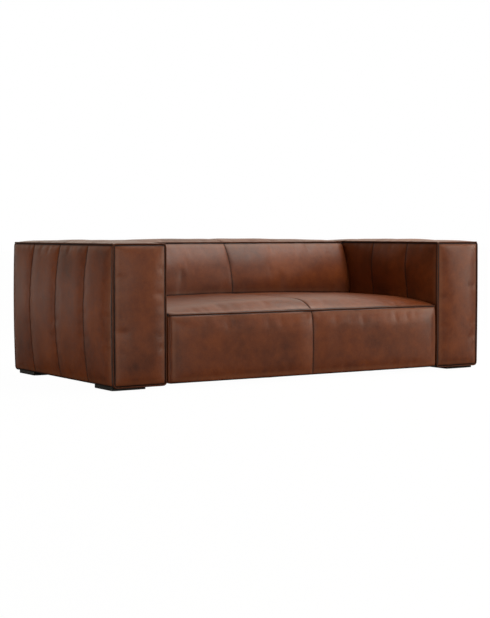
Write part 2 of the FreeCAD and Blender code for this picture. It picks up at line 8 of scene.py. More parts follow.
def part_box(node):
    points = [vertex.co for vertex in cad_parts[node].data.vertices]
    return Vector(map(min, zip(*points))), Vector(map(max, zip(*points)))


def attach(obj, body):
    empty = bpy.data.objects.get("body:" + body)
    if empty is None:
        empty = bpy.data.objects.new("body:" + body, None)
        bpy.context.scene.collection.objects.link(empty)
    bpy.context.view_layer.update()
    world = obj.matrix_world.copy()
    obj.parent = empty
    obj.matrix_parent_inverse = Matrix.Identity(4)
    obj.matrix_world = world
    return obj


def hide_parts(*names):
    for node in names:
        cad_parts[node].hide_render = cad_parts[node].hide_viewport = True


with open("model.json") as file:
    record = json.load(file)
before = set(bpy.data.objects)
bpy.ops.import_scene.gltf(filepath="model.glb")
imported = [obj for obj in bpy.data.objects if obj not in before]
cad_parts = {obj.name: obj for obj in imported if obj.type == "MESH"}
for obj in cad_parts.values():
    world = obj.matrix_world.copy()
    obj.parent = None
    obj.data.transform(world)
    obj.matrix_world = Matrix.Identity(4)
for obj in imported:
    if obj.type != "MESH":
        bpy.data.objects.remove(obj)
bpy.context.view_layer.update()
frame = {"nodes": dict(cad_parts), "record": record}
print("frame loaded")

# The sewn outline is the CAD covers' box without their padding
padding = {"armSide": 0.036, "armFront": 0.016, "armRear": 0.024, "top": 0.024}
armLow, armHigh = [Vector(p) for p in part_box("right_arm_cover")]
backLow, backHigh = [Vector(p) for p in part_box("back_cover")]
seatLow, seatHigh = [Vector(p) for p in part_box("seat_cover")]
innerX = armLow.x
outerX = armHigh.x - padding["armSide"]
frontY = armLow.y + padding["armFront"]
rearY = armHigh.y - padding["armRear"]
bottomZ = armLow.z
topZ = armHigh.z - padding["top"]
depth = rearY - frontY
height = topZ - bottomZ

camera = {
    "place": (-3.904, -6.021, 0.6955),
    "turn": 32.73,
    "down": 3.10,
    "lens": 84.06,
}


def setCamera():
    data = bpy.data.cameras.new("camera")
    data.lens = camera["lens"]
    data.sensor_width = 36
    data.clip_end = 100
    obj = bpy.data.objects.new("camera", data)
    obj.location = camera["place"]
    obj.rotation_euler = (math.radians(90 - camera["down"]), 0, math.radians(-camera["turn"]))
    bpy.context.collection.objects.link(obj)
    bpy.context.scene.camera = obj


class Value:
    # A shader socket that can be used in sums
    def __init__(self, nodes, socket):
        self.nodes = nodes
        self.socket = socket

    def maths(self, operation, first, second):
        return self.nodes.node("Math", {"operation": operation}, {0: first, 1: second})

    def __add__(self, other):
        return self.maths("ADD", self, other)

    def __sub__(self, other):
        return self.maths("SUBTRACT", self, other)

    def __rsub__(self, other):
        return self.maths("SUBTRACT", other, self)

    def __mul__(self, other):
        return self.maths("MULTIPLY", self, other)

    __radd__ = __add__
    __rmul__ = __mul__

    def limited(self):
        return self.nodes.node("Clamp", inputs={"Value": self})

    def between(self, low, high):
        # 0 at low, 1 at high, with soft ends
        return self.nodes.node("MapRange", {"interpolation_type": "SMOOTHSTEP"},
                               {"Value": self, "From Min": low, "From Max": high})


class Nodes:
    # One node tree
    def __init__(self, tree):
        self.tree = tree

    def plug(self, socket, value):
        if isinstance(value, Value):
            self.tree.links.new(value.socket, socket)
        elif socket.type == "RGBA":
            socket.default_value = (*value, 1.0)
        else:
            socket.default_value = value

    def node(self, kind, settings=None, inputs=None, output=0):
        made = self.tree.nodes.new("ShaderNode" + kind)
        for key, value in (settings or {}).items():
            if key == "stops":
                elements = made.color_ramp.elements
                while len(elements) < len(value):
                    elements.new(0.5)
                for element, (place, colour) in zip(elements, value):
                    element.position = place
                    element.color = (*colour, 1.0)
            else:
                setattr(made, key, value)
        for key, value in (inputs or {}).items():
            self.plug(made.inputs[key], value)
        return Value(self, made.outputs[output])

    def clouds(self, where, scale, detail=4.0, roughness=0.55, distortion=0.0):
        return self.node("TexNoise", inputs={"Vector": where, "Scale": scale, "Detail": detail,
                                             "Roughness": roughness, "Distortion": distortion})

    def blend(self, factor, one, other):
        return self.node("Mix", {"data_type": "RGBA"}, {0: factor, 6: one, 7: other}, output=2)

    def ramp(self, factor, stops):
        return self.node("ValToRGB", {"stops": stops}, {0: factor})


class Paint(Nodes):
    # One material
    def __init__(self, name, uniform=None):
        self.material = bpy.data.materials.new(name)
        self.material.use_nodes = True
        super().__init__(self.material.node_tree)
        self.shader = self.tree.nodes["Principled BSDF"]
        self.feed(uniform or {})

    def feed(self, sockets):
        for name, value in sockets.items():
            self.plug(self.shader.inputs[name], value)
        return self.material

    def place(self, scale=(1, 1, 1), shift=None):
        # Object coordinates, stretched, and moved by a number that differs from panel to panel
        base = self.node("TexCoord", output="Object")
        moved = self.node("VectorMath", {"operation": "MULTIPLY"}, {0: base, 1: scale})
        if shift is None:
            return moved
        away = self.node("CombineXYZ", inputs={"X": shift * 3.1, "Y": shift * 7.7, "Z": shift * 5.3})
        return self.node("VectorMath", {"operation": "ADD"}, {0: moved, 1: away})

    def attribute(self, name):
        return self.node("Attribute", {"attribute_name": name}, output="Fac")

    def bump(self, height, distance, strength, after=None):
        inputs = {"Height": height, "Distance": distance, "Strength": strength}
        if after is not None:
            inputs["Normal"] = after
        return self.node("Bump", inputs=inputs)


leatherLook = {
    "dark": (0.068, 0.0140, 0.0036),
    "middle": (0.160, 0.0335, 0.0060),
    "warm": (0.250, 0.058, 0.0095),
    "dyeStops": (0.34, 0.50, 0.67),
    # a near-black brown for painted shade in seams, creases and recesses, partly dye gathered in the seams
    "creaseDyeAndShade": (0.013, 0.0028, 0.0012),
    "rub": (0.21, 0.070, 0.028),
    "roughness": 0.41,
    "shine": 0.37,
    "coat": 0.06,
    "coatRoughness": 0.34,
    "cloudScale": 3.6,
    "patchScale": 9.0,
    "mottleScale": 26.0,
    "speckScale": 170.0,
    "poreScale": 900.0,
    "foldScale": 75.0,
    "grainSize": 0.0016,
    "grainDepth": 0.00022,
    "foldDepth": 0.0011,
    "softDepth": 0.005,
}
weltLook = {
    **leatherLook,
    "middle": (0.085, 0.019, 0.004),
    "warm": (0.13, 0.03, 0.006),
    "shine": 0.22,
    "coat": 0.0,
}


def leather(name, look):
    # Semi-aniline hide: cloudy dye, pebbled grain, slightly rubbed edges, and painted shade in the seams,
    # creases and recesses, partly dye gathered in the seams
    paint = Paint(name, {"Coat Weight": look["coat"], "Coat Roughness": look["coatRoughness"],
                         "Coat IOR": 1.45, "Specular IOR Level": look["shine"]})
    hide = paint.attribute("hide")
    seam = paint.attribute("seam")
    rub = paint.attribute("rub")
    at = paint.place(shift=hide)
    clouds = paint.clouds(at, look["cloudScale"], detail=4, roughness=0.55, distortion=0.4)
    patches = paint.clouds(at, look["patchScale"], detail=3, roughness=0.5, distortion=0.6)
    mottle = paint.clouds(at, look["mottleScale"], detail=8, roughness=0.72)
    specks = paint.clouds(at, look["speckScale"], detail=3, roughness=0.6)
    dye = clouds * 0.34 + patches * 0.22 + mottle * 0.28 + specks * 0.16 + (hide - 0.5) * 0.05
    colour = paint.ramp(dye, list(zip(look["dyeStops"], (look["dark"], look["middle"], look["warm"]))))
    colour = paint.blend((rub * (0.25 + mottle * 0.4)).limited(), colour, look["rub"])
    # painted shade: the seam attribute darkens seams, creases and recesses towards that near-black brown,
    # partly dye gathered in the seams
    colour = paint.blend(seam.between(0.10, 0.75), colour, look["creaseDyeAndShade"])
    pebbles = paint.node("TexVoronoi", {"feature": "SMOOTH_F1"},
                         {"Vector": at, "Scale": 1 / look["grainSize"], "Smoothness": 0.35})
    pores = paint.clouds(at, look["poreScale"], detail=2)
    lines = paint.clouds(paint.place((1.0, 1.0, 0.35), hide), look["foldScale"], detail=4, roughness=0.6)
    grain = paint.bump(pores * 0.4 - pebbles * 0.8, look["grainDepth"], 0.7)
    folds = paint.bump(lines, look["foldDepth"], 0.30, after=grain)
    soft = paint.bump(clouds + mottle * 0.3, look["softDepth"], 0.20, after=folds)
    rough = look["roughness"] + (mottle - 0.5) * 0.22 + (specks - 0.5) * 0.10 + seam * 0.25 - rub * 0.05
    return paint.feed({"Base Color": colour, "Roughness": rough.limited(), "Normal": soft})


def timber(name, light, dark, rough, lengthwise=(1, 1, 0.08), scale=38.0):
    # Straight-grained wood with fine pores
    paint = Paint(name, {"Specular IOR Level": 0.4})
    at = paint.place(lengthwise)
    rings = paint.clouds(at, scale, detail=6, roughness=0.7, distortion=1.2)
    pores = paint.clouds(at, scale * 9, detail=2)
    colour = paint.ramp(rings * 0.85 + pores * 0.15, [(0.36, dark), (0.62, light)])
    bumps = paint.bump(rings * 0.6 + pores * 0.4, 0.0005, 0.5)
    return paint.feed({"Base Color": colour, "Roughness": rough + (rings - 0.5) * 0.2, "Normal": bumps})


def cloth(name, light, dark, scale, rough=0.9, fuzz=0.3):
    # Matted or woven fibres
    paint = Paint(name, {"Sheen Weight": fuzz, "Sheen Roughness": 0.5, "Specular IOR Level": 0.2})
    at = paint.place()
    fibres = paint.clouds(at, scale, detail=6, roughness=0.75)
    weave = paint.node("TexVoronoi", inputs={"Vector": at, "Scale": scale * 1.6})
    colour = paint.ramp(fibres * 0.7 + weave * 0.3, [(0.3, dark), (0.7, light)])
    bumps = paint.bump(fibres + weave * 0.5, 0.0005, 0.6)
    return paint.feed({"Base Color": colour, "Roughness": rough - fibres * 0.15, "Normal": bumps})


def metal(name, colour, rough, metallic=1.0):
    # Plated or enamelled steel with faint streaks
    paint = Paint(name)
    streaks = paint.clouds(paint.place((1, 1, 0.2)), 260.0, detail=4)
    stain = paint.clouds(paint.place(), 30.0, detail=4)
    tint = paint.ramp(stain, [(0.3, tuple(c * 0.8 for c in colour)), (0.7, colour)])
    return paint.feed({
        "Base Color": tint,
        "Metallic": metallic * (0.95 + stain * 0.05),
        "Roughness": rough + (streaks - 0.5) * 0.2,
        "Normal": paint.bump(streaks, 0.0001, 0.3),
    })


materials = {
    "leather": leather("leather", leatherLook),
    "welt": leather("weltLeather", weltLook),
    "thread": cloth("thread", (0.060, 0.022, 0.012), (0.030, 0.010, 0.006), 1800.0, 0.6, 0.1),
    "foot_wood": timber("blackWood", (0.018, 0.016, 0.014), (0.006, 0.005, 0.005), 0.42),
    "felt": cloth("felt", (0.06, 0.06, 0.058), (0.02, 0.02, 0.02), 500.0),
    "steel": metal("zincSteel", (0.58, 0.58, 0.56), 0.34),
    "spring_steel": metal("springWire", (0.03, 0.03, 0.033), 0.38, 0.4),
    "beech": timber("beech", (0.62, 0.42, 0.24), (0.44, 0.27, 0.14), 0.6),
    "plywood": timber("plywood", (0.66, 0.50, 0.31), (0.50, 0.35, 0.20), 0.65, (0.1, 1, 1)),
    "hardboard": cloth("hardboard", (0.30, 0.18, 0.10), (0.20, 0.11, 0.06), 240.0, 0.7, 0.0),
    "foam": cloth("foam", (0.80, 0.76, 0.62), (0.66, 0.61, 0.48), 420.0, 0.95, 0.1),
    "webbing": cloth("webbing", (0.46, 0.41, 0.33), (0.30, 0.26, 0.20), 700.0),
    "cambric": cloth("cambric", (0.022, 0.022, 0.023), (0.010, 0.010, 0.010), 900.0),
}
print("materials made")


def addMesh(name, points, faces, slot, attributes=None, material=None):
    mesh = bpy.data.meshes.new(name)
    mesh.from_pydata([tuple(p) for p in points], [], faces)
    for key, values in (attributes or {}).items():
        layer = mesh.attributes.new(key, "FLOAT", "POINT")
        layer.data.foreach_set("value", np.asarray(values, dtype=np.float32))
    mesh.polygons.foreach_set("use_smooth", [True] * len(mesh.polygons))
    mesh.materials.append(material or materials[slot])
    mesh.update()
    piece = bpy.data.objects.new(name, mesh)
    bpy.context.collection.objects.link(piece)
    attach(piece, "root")
    return piece


def stepsAcross(length, marks, fine, coarse, growth=1.32):
    # Shares from 0 to 1, close together beside each mark and wider between them
    stops = sorted({0.0, 1.0, *marks})
    shares = [0.0]
    for low, high in zip(stops, stops[1:]):
        half = (high - low) * length / 2
        run = [0.0]
        step = fine
        while run[-1] + step < half and step < coarse:
            run.append(run[-1] + step)
            step *= growth
        rest = half - run[-1]
        count = max(1, round(rest / coarse))
        run += [run[-1] + rest * (i + 1) / count for i in range(count)]
        shares += [low + r / length for r in run[1:]]
        shares += [high - r / length for r in reversed(run[:-1])]
    return np.array(shares)


def rounded(distance, radius):
    # 0 at a seam, 1 past the radius, like a quarter of an ellipse
    near = np.clip(distance / radius, 0, 1)
    return np.sqrt(1 - (1 - near) ** 2)


def dip(distance, radius):
    # 1 at a seam, falling smoothly to 0 at the radius
    near = np.clip(np.abs(distance) / radius, 0, 1)
    return 1 - near * near * (3 - 2 * near)


def ripple(points, size, seed):
    # Smooth noise from about -1 to 1, with swells of about the given size
    places = [Vector((p[0] / size + seed, p[1] / size - seed, p[2] / size)) for p in points]
    return np.array([noise.noise(place) for place in places])


# Each side's axis, and the end of that axis that it stands at
faceAxes = {
    "left": (0, 0), "right": (0, 1),
    "front": (1, 0), "rear": (1, 1),
    "bottom": (2, 0), "top": (2, 1),
}


def otherAxes(side):
    return [n for n in range(3) if n != faceAxes[side][0]]


def turnsOutward(side):
    # Whether the side's grid, taken in order, already faces away from the cover
    axis, end = faceAxes[side]
    return (end == 1) == (axis != 1)


def joined(numbers, sides, key):
    # One value for each point of a cover, from the first side that has it
    count = 1 + max(ids.max() for ids in numbers.values())
    values = np.zeros((count,) + sides["left"][key].shape[2:])
    for side in reversed(faceAxes):
        values[numbers[side]] = sides[side][key]
    return values


sewing = {
    "fine": 0.0016,          # the mesh beside a seam
    "coarse": 0.011,         # and far from one
    "edge": 0.022,           # how far the padding rounds down to an edge
    "shade": 0.012,          # how far an edge's painted shade reaches
    "seamRound": 0.011,      # how far the padding rounds down to a seam
    "seamReach": 0.085,      # how far a seam's wide hollow reaches
    # how far and how strongly a seam's groove is darkened with painted shade
    "seamShade": 0.0040,
    "seamDark": 0.85,
    "pucker": 0.0014,
    "puckerSize": 0.034,
    "puckerSeam": 0.045,     # how far puckers reach from a seam
    "puckerEdge": 0.05,      # and from an edge
    "wave": 0.0026,
    "waveSize": 0.17,
    "waveSeed": 40,
    "rubPlace": 0.016,       # where the padding's shoulder is rubbed, from the nearest edge
    "rubReach": 0.013,
    "rubStart": 0.004,
}
# Steps between the numbers that set one piece of hide apart from the next
hideSteps = {"side": 0.13, "seam": 0.29, "nextSeam": 0.17, "cover": 0.07}


class Skin:
    # A sewn cover: a closed surface of six sides over a lattice of shares across, back and up.
    # outline(across, back, up) gives the sewn outline, and a rule for each side says how it is padded:
    # lip and crown are its rise at the edges and in the middle, powers how full the crown is,
    # edges and shade how far the rounding and the painted shade reach from each of its four edges,
    # seams (direction, share, depth, hollow), pucker how strongly it puckers,
    # and dusk a wide painted shade (strength, reach from below, reach from the ends).
    def __init__(self, name, size, outline, rules, marks, fine=sewing["fine"], coarse=sewing["coarse"]):
        self.name = name
        self.size = size
        self.outline = outline
        self.rules = rules
        self.marks = marks
        self.shares = [stepsAcross(size[n], marks[n], fine, coarse) for n in range(3)]
        self.slack = {}
        self.sides = {}
        self.mirror = False

    def grid(self, side):
        # The side's own shares u and v, and the same points as shares across, back and up
        axis, end = faceAxes[side]
        first, second = otherAxes(side)
        u, v = np.meshgrid(self.shares[first], self.shares[second], indexing="ij")
        full = [None, None, None]
        full[axis] = np.full_like(u, float(end))
        full[first] = u
        full[second] = v
        return u, v, full

    def outward(self, side, spots):
        normal = np.cross(np.gradient(spots, axis=0), np.gradient(spots, axis=1))
        normal /= np.linalg.norm(normal, axis=2, keepdims=True) + 1e-12
        return normal if turnsOutward(side) else -normal

    def borders(self, side):
        # The distance from each of the side's four edges
        u, v, _ = self.grid(side)
        lengthU, lengthV = [self.size[n] for n in otherAxes(side)]
        return u * lengthU, (1 - u) * lengthU, v * lengthV, (1 - v) * lengthV

    def padded(self, side, seed):
        u, v, full = self.grid(side)
        rule = self.rules[side]
        lengths = [self.size[n] for n in otherAxes(side)]
        spots = self.outline(*full)
        normal = self.outward(side, spots)
        powerU, powerV = rule.get("powers", (0.8, 0.8))
        crown = rule["crown"] * (4 * u * (1 - u)) ** powerU * (4 * v * (1 - v)) ** powerV
        rise = rule["lip"] + crown
        # Painted shade, kept in the seam attribute: dark in the seam grooves, along the edges, and as a wide
        # dusk low down and towards the ends
        paintedShade = np.zeros_like(u)
        pucker = np.zeros_like(u)
        for which, share, deep, wide in rule.get("seams", ()):
            away = ((u, v)[which] - share) * lengths[which]
            groove = deep * (1 - rounded(np.abs(away), sewing["seamRound"]))
            rise = rise - groove - wide * dip(away, sewing["seamReach"])
            paintedShade = np.maximum(paintedShade, sewing["seamDark"] * dip(away, sewing["seamShade"]))
            pucker = np.maximum(pucker, dip(away, sewing["puckerSeam"]))
        borders = self.borders(side)
        edges = rule.get("edges", (sewing["edge"],) * 4)
        nearest = np.minimum.reduce([b if r > 0 else b * 0 + 1 for b, r in zip(borders, edges)])
        pucker = np.maximum(pucker, dip(nearest, sewing["puckerEdge"]))
        for border, reach in zip(borders, rule.get("shade", (sewing["shade"],) * 4)):
            if reach > 0:
                paintedShade = np.maximum(paintedShade, dip(border, reach))
        # dusk: a wide painted shade, from the bottom edge and from both ends
        dusk, lowReach, endReach = rule.get("dusk", (0, 1, 1))
        ends = np.minimum(borders[0], borders[1])
        paintedShade = np.maximum(paintedShade, dusk * np.maximum(dip(borders[2], lowReach), dip(ends, endReach)))
        flat = spots.reshape(-1, 3)
        small = ripple(flat, sewing["puckerSize"], seed).reshape(u.shape)
        large = ripple(flat, sewing["waveSize"], seed + sewing["waveSeed"]).reshape(u.shape)
        rise = rise + pucker * small * rule.get("pucker", 1) * sewing["pucker"] + large * sewing["wave"]
        free = np.ones_like(u)  # 0 along the side's edge seams, 1 away from them
        for border, reach in zip(borders, edges):
            if reach > 0:
                free = free * rounded(border, reach)
        moved = spots + normal * (rise * free)[..., None]
        if side in self.slack:
            moved = moved + self.slack[side] * free[..., None]
        return {"points": moved, "ways": normal, "seam": paintedShade, "nearest": nearest}

    def pointNumbers(self):
        # Each side's grid of point numbers, the same number where two sides meet
        counts = [len(s) for s in self.shares]
        index = {}
        numbers = {}
        for side, (axis, end) in faceAxes.items():
            first, second = otherAxes(side)
            numbers[side] = np.zeros((counts[first], counts[second]), dtype=int)
            key = [0, 0, 0]
            key[axis] = end * (counts[axis] - 1)
            for i, j in np.ndindex(counts[first], counts[second]):
                key[first] = i
                key[second] = j
                numbers[side][i, j] = index.setdefault(tuple(key), len(index))
        return numbers

    def quads(self, numbers, mirror=False):
        faces = []
        for side, ids in numbers.items():
            corners = [ids[:-1, :-1], ids[1:, :-1], ids[1:, 1:], ids[:-1, 1:]]
            if turnsOutward(side) == mirror:
                corners.reverse()
            faces += np.stack([c.ravel() for c in corners], axis=1).tolist()
        return faces

    def panelNumbers(self, side):
        # A number for each sewn panel, so that every piece of hide differs a little
        u, v, _ = self.grid(side)
        number = np.full_like(u, hideSteps["side"] * list(faceAxes).index(side))
        for count, (which, share, _, _) in enumerate(self.rules[side].get("seams", ())):
            number = number + ((u, v)[which] > share) * (hideSteps["seam"] + hideSteps["nextSeam"] * count)
        return (number + len(self.name) * hideSteps["cover"]) % 1.0

    def build(self, seed, mirror=False):
        self.mirror = mirror
        self.sides = {side: self.padded(side, seed) for side in faceAxes}
        for side, made in self.sides.items():
            shoulder = dip(made["nearest"] - sewing["rubPlace"], sewing["rubReach"])
            made["rub"] = shoulder * (made["nearest"] > sewing["rubStart"])
            made["hide"] = self.panelNumbers(side)
        numbers = self.pointNumbers()
        points = self.flipped(joined(numbers, self.sides, "points"))
        looks = {key: joined(numbers, self.sides, key) for key in ("seam", "hide", "rub")}
        piece = addMesh(self.name, points, self.quads(numbers, mirror), "leather", looks)
        return piece

    def flipped(self, values):
        return values * (-1, 1, 1) if self.mirror else values

    def sample(self, side, us, vs):
        # Points and normals of the finished side at shares (u, v)
        moved = self.sides[side]["points"]
        gu, gv = [self.shares[n] for n in otherAxes(side)]
        i = np.clip(np.searchsorted(gu, us, side="right") - 1, 0, len(gu) - 2)
        j = np.clip(np.searchsorted(gv, vs, side="right") - 1, 0, len(gv) - 2)
        fu = ((us - gu[i]) / (gu[i + 1] - gu[i]))[:, None]
        fv = ((vs - gv[j]) / (gv[j + 1] - gv[j]))[:, None]

        def mix(values):
            low = values[i, j] * (1 - fu) + values[i + 1, j] * fu
            high = values[i, j + 1] * (1 - fu) + values[i + 1, j + 1] * fu
            return self.flipped(low * (1 - fv) + high * fv)

        normals = mix(self.outward(side, moved))
        normals /= np.linalg.norm(normals, axis=1, keepdims=True)
        return mix(moved), normals

    def edge(self, sideA, sideB, backwards=False):
        # The sewn edge where two sides meet, with the way that bisects them
        rows = []
        for side, other in ((sideA, sideB), (sideB, sideA)):
            axis, end = faceAxes[other]
            across = otherAxes(side).index(axis)
            rows.append([np.take(self.sides[side][key], -end, axis=across) for key in ("points", "ways")])
        away = rows[0][1] + rows[1][1]
        away /= np.linalg.norm(away, axis=1, keepdims=True)
        points = self.flipped(rows[0][0])
        away = self.flipped(away)
        return (points[::-1], away[::-1]) if backwards else (points, away)


def evenly(points, extra, gap, closed):
    # The same line with its points at an even distance
    if closed:
        points = np.vstack([points, points[:1]])
        extra = np.vstack([extra, extra[:1]])
    length = np.concatenate([[0], np.cumsum(np.linalg.norm(np.diff(points, axis=0), axis=1))])
    count = max(4, int(length[-1] / gap))
    at = np.linspace(0, length[-1], count + 1)
    if closed:
        at = at[:-1]
    line, ways = [np.stack([np.interp(at, length, values[:, n]) for n in range(3)], axis=1)
                  for values in (points, extra)]
    return line, ways


def smoothed(points, times, closed):
    for _ in range(times):
        if closed:
            points = (np.roll(points, 1, 0) + 2 * points + np.roll(points, -1, 0)) / 4
        else:
            middle = (points[:-2] + 2 * points[1:-1] + points[2:]) / 4
            points = np.vstack([points[:1], middle, points[-1:]])
    return points


def ringFaces(count, around, closed):
    # Quads between rings of points, and a face over each end where the line is open
    faces = []
    for n in range(count if closed else count - 1):
        low = n * around
        high = ((n + 1) % count) * around
        for k in range(around):
            m = (k + 1) % around
            faces.append((low + k, low + m, high + m, high + k))
    if not closed:
        faces.append(tuple(range(around - 1, -1, -1)))
        faces.append(tuple((count - 1) * around + k for k in range(around)))
    return faces


def gather(parts):
    points, faces = [], []
    total = 0
    for vertices, polygons in parts:
        points.append(vertices)
        faces += [tuple(total + i for i in polygon) for polygon in polygons]
        total += len(vertices)
    return np.concatenate(points), faces


welt = {
    "radius": 0.0034,
    "out": 0.0036,           # how far it stands off the seam
    "gap": 0.006,
    "corner": 3,             # rounds of smoothing, which turn the corners
    "around": 12,
    "uneven": 0.03,
    "unevenScale": 60,
    "wornSize": 0.11,
    "wornSeed": 5.0,
    "dark": 0.20,
    "worn": 0.5,
    "hide": 0.37,
}


def tube(points, closed, seed):
    # A round cord along a line, a little uneven in thickness
    if closed:
        tangent = np.roll(points, -1, 0) - np.roll(points, 1, 0)
    else:
        tangent = np.gradient(points, axis=0)
    tangent /= np.linalg.norm(tangent, axis=1, keepdims=True)
    side = np.cross(tangent[0], (0.31, 0.52, 0.79))  # a way that no welt starts along
    angles = np.linspace(0, 2 * math.pi, welt["around"], endpoint=False)
    rings = []
    for n, point in enumerate(points):
        side = side - tangent[n] * np.dot(side, tangent[n])
        side /= np.linalg.norm(side)
        up = np.cross(tangent[n], side)
        bumpy = noise.noise(Vector(point * welt["unevenScale"]) + Vector((seed, 0, 0)))
        fat = welt["radius"] * (1 + welt["uneven"] * bumpy)
        rings.append(point + fat * (np.cos(angles)[:, None] * side + np.sin(angles)[:, None] * up))
    return np.concatenate(rings), ringFaces(len(points), welt["around"], closed)


def weltAlong(pieces, closed, seed):
    line = np.vstack([p for p, w in pieces])
    ways = np.vstack([w for p, w in pieces])
    line, ways = evenly(line, ways, welt["gap"], closed)
    ways /= np.linalg.norm(ways, axis=1, keepdims=True)
    line = smoothed(line + ways * welt["out"], welt["corner"], closed)
    return tube(line, closed, seed)


def weltPiece(name, loops):
    points, faces = gather(loops)
    worn = ripple(points, welt["wornSize"], welt["wornSeed"])
    return addMesh(name, points, faces, "leather", {
        "seam": np.clip(welt["dark"] * (1 - worn), 0, 1),
        "hide": np.full(len(points), welt["hide"]),
        "rub": np.clip(worn * welt["worn"], 0, 1),
    }, materials["welt"])


thread = {
    "radius": 0.00055,
    "stitch": 0.0048,
    "pitch": 0.0072,
    "offset": 0.0052,        # how far from its seam
    "around": 6,
    # Where each ring of a stitch lies along it, its thickness and its height over the leather
    "rings": ((-1, 0.5, -0.9), (-0.7, 1, 0.3), (0, 1.05, 0.75), (0.7, 1, 0.3), (1, 0.5, -0.9)),
}


def stitchLine(points, normals):
    # Short thread loops laid along a line
    line, ways = evenly(points, normals, thread["pitch"], False)
    half = thread["stitch"] / 2
    radius = thread["radius"]
    around = thread["around"]
    faces = ringFaces(len(thread["rings"]), around, False)
    parts = []
    for n in range(1, len(line) - 1):
        along = line[n + 1] - line[n - 1]
        along /= np.linalg.norm(along)
        up = ways[n] / np.linalg.norm(ways[n])
        across = np.cross(up, along)
        rings = []
        for share, fat, lift in thread["rings"]:
            centre = line[n] + along * half * share + up * radius * lift
            for k in range(around):
                turn = 2 * math.pi * k / around
                rings.append(centre + fat * radius * (math.cos(turn) * across + math.sin(turn) * up))
        parts.append((np.array(rings), faces))
    return gather(parts)


def stitchesBeside(skin, side, direction, share, way, ends, samples=200):
    # A row of stitches to one side of a seam, which runs along v (direction 0) or u (direction 1)
    run = np.linspace(*ends, samples)
    length = skin.size[otherAxes(side)[direction]]
    fixed = np.full_like(run, share + way * thread["offset"] / length)
    return stitchLine(*skin.sample(side, *((run, fixed) if direction else (fixed, run))))


settle = {
    "spacing": 0.018,
    "pressure": 4.0,
    "frames": 20,
    "grow": -0.005,
    "cap": 0.0045,           # the furthest that a point may move
    "quality": 6,
    "mass": 0.4,
    "stretch": 25,
    "shear": 8,
    "bend": 6.0,
    "held": 0.8,             # a point this dark is part of a seam
}


def resample(values, old, new):
    # Smooth interpolation of a grid along its first axis
    slope = np.gradient(values, old, axis=0)
    i = np.clip(np.searchsorted(old, new, side="right") - 1, 0, len(old) - 2)
    h = (old[i + 1] - old[i])
    t = (new - old[i]) / h
    shape = (-1,) + (1,) * (values.ndim - 1)
    h = h.reshape(shape)
    t = t.reshape(shape)
    return ((2 * t**3 - 3 * t**2 + 1) * values[i] + (t**3 - 2 * t**2 + t) * h * slope[i]
            + (3 * t**2 - 2 * t**3) * values[i + 1] + (t**3 - t**2) * h * slope[i + 1])


def settleLeather(skin, heldSides, seed):
    # Inflates a light copy of the cover, held at its seams, and keeps how each point moved
    spacing = settle["spacing"]
    rough = Skin(skin.name + "_trial", skin.size, skin.outline, skin.rules, skin.marks, spacing, spacing)
    sides = {side: rough.padded(side, seed) for side in faceAxes}
    numbers = rough.pointNumbers()
    start = joined(numbers, sides, "points")
    held = np.zeros(len(start), dtype=bool)
    for side, made in sides.items():
        sewn = (made["nearest"] < 1e-6) | (made["seam"] > settle["held"])
        held[numbers[side][sewn | (side in heldSides)]] = True
    mesh = bpy.data.meshes.new(rough.name)
    mesh.from_pydata(start.tolist(), [], rough.quads(numbers))
    trial = bpy.data.objects.new(rough.name, mesh)
    bpy.context.collection.objects.link(trial)
    pins = trial.vertex_groups.new(name="held")
    pins.add(np.flatnonzero(held).tolist(), 1.0, "REPLACE")
    rules = trial.modifiers.new("cloth", "CLOTH").settings
    rules.quality = settle["quality"]
    rules.mass = settle["mass"]
    rules.tension_stiffness = settle["stretch"]
    rules.compression_stiffness = settle["stretch"]
    rules.shear_stiffness = settle["shear"]
    rules.bending_stiffness = settle["bend"]
    rules.use_pressure = True
    rules.uniform_pressure_force = settle["pressure"]
    rules.shrink_min = settle["grow"]
    rules.vertex_group_mass = "held"
    rules.effector_weights.gravity = 0
    scene = bpy.context.scene
    for number in range(1, settle["frames"] + 1):
        scene.frame_set(number)
    shown = trial.evaluated_get(bpy.context.evaluated_depsgraph_get())
    end = np.zeros(len(start) * 3, dtype=np.float32)
    shown.data.vertices.foreach_get("co", end)
    shift = end.reshape(-1, 3) - start
    length = np.linalg.norm(shift, axis=1, keepdims=True) + 1e-9
    print("settled", skin.name, len(start), "points, most", round(float(length.max()) * 1000, 1), "mm")
    shift = np.nan_to_num(shift) * (settle["cap"] * np.tanh(length / settle["cap"]) / length)
    scene.frame_set(1)
    bpy.data.objects.remove(trial)
    bpy.data.meshes.remove(mesh)
    for side, ids in numbers.items():
        if side not in heldSides:
            first, second = otherAxes(side)
            grid = resample(shift[ids], rough.shares[first], skin.shares[first])
            grid = resample(grid.transpose(1, 0, 2), rough.shares[second], skin.shares[second])
            skin.slack[side] = grid.transpose(1, 0, 2)


armShape = {
    "seams": (0.2254, 0.5, 0.7746),
    "bowFront": 0.002,
    "bowRear": 0.006,
    "lip": 0.005,
    "lipInner": 0.003,
    "crownSide": 0.028,
    "crownInner": 0.002,
    "innerBulge": 0.020,
    "innerFoot": 0.60,
    "innerEnd": 0.66,
    "crownFront": 0.011,
    "crownRear": 0.017,
    "crownTop": 0.009,
    "seamDepth": 0.0024,
    "seamDip": 0.0026,
    "faint": 0.8,            # the seams' depth on the inner side and the top, as a share
    "innerDip": 0.4,
    "topDip": 0.3,
    "stitchEnds": (0.012, 0.988),
    "stitchSamples": 160,
    "weltSeeds": {"front": 0.0, "rear": 3.0, "top": 7},
}


